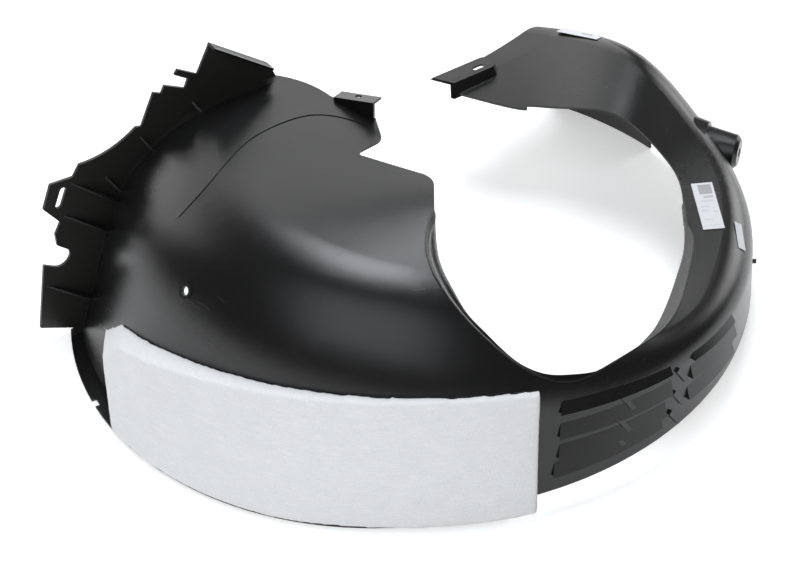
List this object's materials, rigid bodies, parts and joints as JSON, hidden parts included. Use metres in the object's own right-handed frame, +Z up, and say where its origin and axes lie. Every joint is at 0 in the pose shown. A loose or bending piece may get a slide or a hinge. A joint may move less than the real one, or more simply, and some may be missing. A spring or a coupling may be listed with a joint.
{
  "type": "wheel arch liner",
  "caption": "Moulded plastic wheel arch liner, a domed horseshoe shell with end flange, strut opening, fixing boss and a felt absorber pad on its wall.",
  "frame": {"origin": "middle of the box on the plane that the liner's outer lip rests on", "axes": "+X to the right along the longest extent, from the end flange to the boss, +Y to the rear arm, +Z up from the lip to the dome"},
  "size_m": [0.731, 0.6714, 0.288],
  "materials": {
    "black_plastic": "satin moulded plastic",
    "white_felt": "pressed white felt",
    "label_paper": "white paper sticker"
  },
  "bodies": {
    "root": {"liner_shell": "black_plastic", "felt_pad": "white_felt", "label_large": "label_paper", "label_small": "label_paper", "label_top": "label_paper"}
  },
  "joints": []
}
